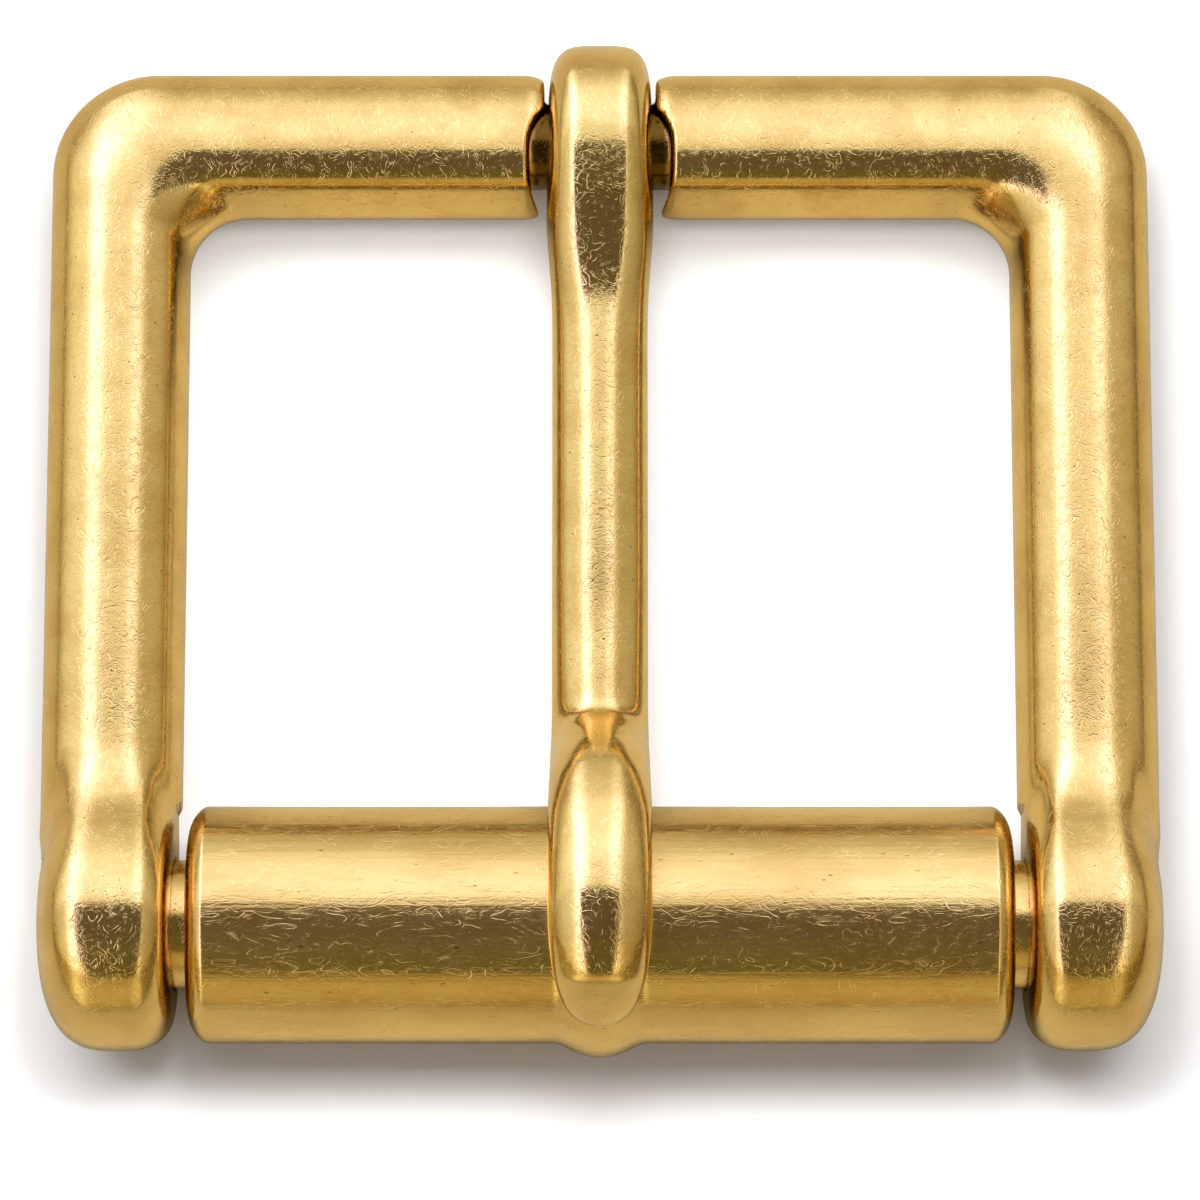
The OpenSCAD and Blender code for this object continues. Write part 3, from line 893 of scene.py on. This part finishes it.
# Its glow against the share of its length from the south: its northern end is a little dimmer and browner.
card_glow = [(0.56, (0.12, 0.105, 0.034)), (0.68, (0.1, 0.082, 0.05))]
card = level_sheet("dark_card", -card_half, card_south, card_half, card_north, card_high)
card_paint = bpy.data.materials.new("dark_felt")
card_paint.use_nodes = True
card_tree = card_paint.node_tree
card_shader = card_tree.nodes["Principled BSDF"]
card_shader.inputs["Base Color"].default_value = (0.01, 0.01, 0.01, 1)
card_shader.inputs["Roughness"].default_value = 1.0
card_shader.inputs["Emission Strength"].default_value = 1.0
card_place = card_tree.nodes.new("ShaderNodeTexCoord")
card_split = card_tree.nodes.new("ShaderNodeSeparateXYZ")
card_tree.links.new(card_place.outputs["Object"], card_split.inputs[0])
card_share = calc(card_tree, "MULTIPLY_ADD", card_split.outputs[1], 1 / card_long, -card_south / card_long)
card_tree.links.new(ramp_of(card_tree, card_share, card_glow), card_shader.inputs["Emission Color"])
card.data.materials.append(card_paint)
card.visible_camera = False
card.visible_diffuse = False
card.visible_shadow = False

# Brightness of the tent against the angle from straight up, towards the north (+) or the south (-).
tent_levels = [
    (-90, 0.4), (-82, 0.5), (-72, 0.56), (-64, 0.46), (-57, 0.42), (-50, 0.95), (0, 1.0), (16, 1.0),
    (21, 1.3), (33, 1.4), (48, 1.2), (59, 1.15), (65, 0.92), (72, 0.78), (80, 0.66), (90, 0.58),
]
# The same against the angle to the west (-) or the east (+), as a share.
side_levels = [
    (-90, 0.4), (-78, 0.52), (-64, 0.7), (-52, 0.82), (-38, 0.95), (-32, 1.3), (-27, 2.2), (-18, 2.2),
    (-13, 1.4), (-8, 1.05), (3, 1.0), (8, 1.15), (12, 1.55), (20, 1.55), (24, 1.0), (28, 0.66), (34, 0.54),
    (50, 0.48), (70, 0.37), (80, 0.3), (90, 0.28),
]
# The tent's colour against its brightness: dim parts are warm, and the brightest burn out to a cool white.
tent_tints = [
    (0.1, (1.0, 0.8, 0.4)), (0.4, (1.0, 0.87, 0.55)), (0.65, (1.0, 0.95, 0.76)), (0.85, (1.0, 1.0, 0.92)),
    (1.1, (1.0, 1.03, 1.04)), (1.5, (1.0, 0.99, 1.25)), (2.0, (1.0, 0.95, 1.5)), (3.0, (1.0, 0.95, 1.6)),
]
# A warmer tint towards the south, against the same angle as a share of the half turn from south to north.
south_tints = [(0.2, (1.0, 0.87, 0.55)), (0.35, (1.0, 1.0, 1.0)), (1.0, (1.0, 1.0, 1.0))]
# A ramp's colours end at 1, so levels and tints are divided by these and multiplied again.
top_level = 4.0
top_bright = 3.2
top_tint = 1.6

world = bpy.data.worlds.new("tent")
bpy.context.scene.world = world
world.use_nodes = True
world.cycles_visibility.diffuse = False
air = world.node_tree
towards = air.nodes.new("ShaderNodeTexCoord")
parts = air.nodes.new("ShaderNodeSeparateXYZ")
air.links.new(towards.outputs["Generated"], parts.inputs[0])


def half_turn(angle):
    """An angle of -90 to 90 degrees as 0 to 1."""
    return calc(air, "MULTIPLY_ADD", angle, 1 / math.pi, 0.5)


def level_at(angle, levels):
    """A brightness read from a list of (degrees, level) pairs over -90 to 90 degrees."""
    stops = [((degrees + 90) / 180, [level / top_level] * 3) for degrees, level in levels]
    return calc(air, "MULTIPLY", ramp_of(air, half_turn(angle), stops), top_level)


north_angle = calc(air, "ARCTAN2", parts.outputs[1], parts.outputs[2])
east_angle = calc(air, "ARCSINE", parts.outputs[0])
bright = calc(air, "MULTIPLY", level_at(north_angle, tent_levels), level_at(east_angle, side_levels))
tint_stops = [(level / top_bright, [c / top_tint for c in rgb]) for level, rgb in tent_tints]
tint = ramp_of(air, calc(air, "DIVIDE", bright, top_bright), tint_stops)
south_tint = ramp_of(air, half_turn(north_angle), south_tints)
backdrop = air.nodes["Background"]
air.links.new(mixed(air, 1.0, tint, south_tint, blend="MULTIPLY"), backdrop.inputs["Color"])
air.links.new(calc(air, "MULTIPLY", bright, top_tint), backdrop.inputs["Strength"])
bpy.context.scene.view_settings.view_transform = "Standard"

# Soft panels light the table: a bright one high in the north, a little to the left, a broad dim one above,
# and a small one close over the buckle's window. Neither the camera nor the brass sees them.
for name, spot, size, power in (
    ("north_panel", (-0.08, 0.18, 0.55), (0.7, 0.34), 4.4),
    ("top_panel", (0.0, -0.1, 0.9), (2.4, 1.6), 6.0),
    ("near_panel", (0.0, 0.002, 0.085), (0.03, 0.02), 0.04),
):
    panel = bpy.data.lights.new(name, "AREA")
    panel.shape = "RECTANGLE"
    panel.size, panel.size_y = size
    panel.energy = power
    lamp = bpy.data.objects.new(name, panel)
    lamp.location = spot
    lamp.rotation_euler = (-math.atan2(spot[1], spot[2]), 0, 0)
    lamp.visible_glossy = False
    lamp.visible_camera = False
    bpy.context.scene.collection.objects.link(lamp)

# The camera looks down on the buckle from a little south of straight above, from about 29 cm.
camera_tilt = math.radians(10)
camera_distance = 0.2878
look_at = (0, -2.89 * MM, 6.46 * MM)
camera_data = bpy.data.cameras.new("camera")
camera_data.lens = 177
camera_data.sensor_width = 36
camera = bpy.data.objects.new("camera", camera_data)
camera.location = (look_at[0], look_at[1] - camera_distance * math.sin(camera_tilt),
                   look_at[2] + camera_distance * math.cos(camera_tilt))
camera.rotation_euler = (camera_tilt, 0, 0)
bpy.context.scene.collection.objects.link(camera)
bpy.context.scene.camera = camera
